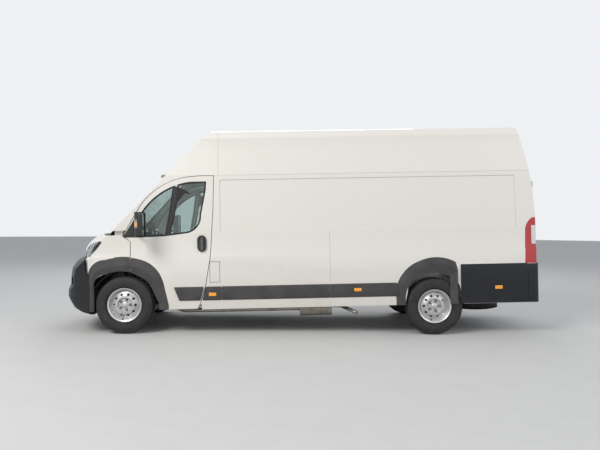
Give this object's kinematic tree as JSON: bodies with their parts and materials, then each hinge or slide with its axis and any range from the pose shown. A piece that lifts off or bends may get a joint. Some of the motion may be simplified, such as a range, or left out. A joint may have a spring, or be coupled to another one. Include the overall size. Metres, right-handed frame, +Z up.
{
  "type": "panel van",
  "caption": "Long high-roofed panel van in off-white with dark plastic lower trim and steel wheels.",
  "frame": {"origin": "on the ground under the middle of the van's length and width", "axes": "+Z up; the nose points to -X and the left side faces -Y"},
  "size_m": [6.3635, 2.66, 2.7748],
  "materials": {
    "paint": "satin",
    "dark_plastic": "matte",
    "glass": "gloss",
    "red_lens": "gloss",
    "clear_lens": "gloss",
    "cab_plastic": "matte",
    "cloth": "matte",
    "grey_metal": "matte",
    "black_metal": "satin",
    "cast": "matte",
    "exhaust_metal": "satin",
    "silver_metal": "satin",
    "tyre": "matte"
  },
  "bodies": {
    "body": {"side_front_left": "paint", "side_rear_left": "paint", "side_rear_right": "paint", "sliding_door": "paint", "side_front_right": "paint", "roof_front": "paint", "roof_rear": "paint", "tail_lamps": "red_lens", "windscreen": "glass", "cab_frame": "paint", "front_wings": "paint", "headlamps": "clear_lens", "side_trim": "dark_plastic", "front_bumper": "dark_plastic", "grille": "dark_plastic", "rear_bumper": "dark_plastic", "floor_pan": "grey_metal", "wheel_boxes": "grey_metal", "cab_floor": "grey_metal", "front_members": "grey_metal", "floor_members": "grey_metal", "arch_liners": "dark_plastic", "cowl": "dark_plastic", "dashboard": "cab_plastic", "seat_frames": "cab_plastic", "seat_pads": "cloth", "bulkhead": "grey_metal", "engine_block": "cast", "fuel_tank": "dark_plastic", "exhaust": "exhaust_metal", "front_suspension": "black_metal", "front_springs": "black_metal", "rear_axle": "black_metal", "leaf_springs": "black_metal", "spare_wheel": "tyre", "spare_rim": "silver_metal"},
    "front_door_left": {"front_door_left": "paint", "door_glass_left": "glass", "door_trim_left": "dark_plastic", "mirror_left": "dark_plastic"},
    "rear_door_left": {"rear_door_left": "paint"},
    "knuckle_left": {"knuckle_left": "cast"},
    "front_door_right": {"front_door_right": "paint", "door_glass_right": "glass", "door_trim_right": "dark_plastic", "mirror_right": "dark_plastic"},
    "rear_door_right": {"rear_door_right": "paint"},
    "knuckle_right": {"knuckle_right": "cast"},
    "bonnet": {"bonnet": "paint"},
    "fuel_flap": {"fuel_flap": "paint"},
    "steering_wheel": {"steering_wheel": "cab_plastic"},
    "wheel_front_left": {"wheel_front_left": "silver_metal", "tyre_front_left": "tyre"},
    "wheel_front_right": {"wheel_front_right": "silver_metal", "tyre_front_right": "tyre"},
    "wheel_rear_left": {"wheel_rear_left": "silver_metal", "tyre_rear_left": "tyre"},
    "wheel_rear_right": {"wheel_rear_right": "silver_metal", "tyre_rear_right": "tyre"}
  },
  "joints": [
    {"name": "front_door_left", "type": "hinge", "parent": "body", "child": "front_door_left", "pos_m": [-2.09562, -0.984, 1.00883], "axis": [0.0262, 0, -0.9997], "range_deg": [0, 68]},
    {"name": "front_door_right", "type": "hinge", "parent": "body", "child": "front_door_right", "pos_m": [-2.09562, 0.984, 1.00883], "axis": [-0.0262, 0, 0.9997], "range_deg": [0, 68]},
    {"name": "rear_door_left", "type": "hinge", "parent": "body", "child": "rear_door_left", "pos_m": [3.14162, -0.845, 1.43107], "axis": [0.0262, 0, -0.9997], "range_deg": [0, 180]},
    {"name": "rear_door_right", "type": "hinge", "parent": "body", "child": "rear_door_right", "pos_m": [3.14162, 0.845, 1.43107], "axis": [-0.0262, 0, 0.9997], "range_deg": [0, 180]},
    {"name": "bonnet", "type": "hinge", "parent": "body", "child": "bonnet", "pos_m": [-2.5357, 0, 1.2734], "axis": [0, 1, 0], "range_deg": [0, 50]},
    {"name": "fuel_flap", "type": "hinge", "parent": "body", "child": "fuel_flap", "pos_m": [-1.02954, -1.0045, 0.80967], "axis": [-0.0262, 0, 0.9997], "range_deg": [0, 85]},
    {"name": "steer_left", "type": "hinge", "parent": "body", "child": "knuckle_left", "pos_m": [-2.2335, -0.8, 0.23], "axis": [0, 0.2461, 0.9692], "range_deg": [-36, 36]},
    {"name": "steer_right", "type": "hinge", "parent": "body", "child": "knuckle_right", "pos_m": [-2.2335, 0.8, 0.23], "axis": [0, -0.2461, 0.9692], "range_deg": [-36, 36]},
    {"name": "steering_wheel_turn", "type": "hinge", "parent": "body", "child": "steering_wheel", "pos_m": [-1.83516, -0.47, 1.18571], "axis": [0.749, 0, 0.6626], "range_deg": [-540, 540]},
    {"name": "wheel_front_left_spin", "type": "hinge", "parent": "knuckle_left", "child": "wheel_front_left", "pos_m": [-2.2335, -0.905, 0.372], "axis": [0, 1, 0], "continuous": true},
    {"name": "wheel_front_right_spin", "type": "hinge", "parent": "knuckle_right", "child": "wheel_front_right", "pos_m": [-2.2335, 0.905, 0.372], "axis": [0, 1, 0], "continuous": true},
    {"name": "wheel_rear_left_spin", "type": "hinge", "parent": "body", "child": "wheel_rear_left", "pos_m": [1.8015, -0.895, 0.372], "axis": [0, 1, 0], "continuous": true},
    {"name": "wheel_rear_right_spin", "type": "hinge", "parent": "body", "child": "wheel_rear_right", "pos_m": [1.8015, 0.895, 0.372], "axis": [0, 1, 0], "continuous": true}
  ],
  "couplings": [
    {"joint": "steer_right", "follows": "steer_left", "ratio": 1},
    {"joint": "steering_wheel_turn", "follows": "steer_left", "ratio": 15}
  ]
}
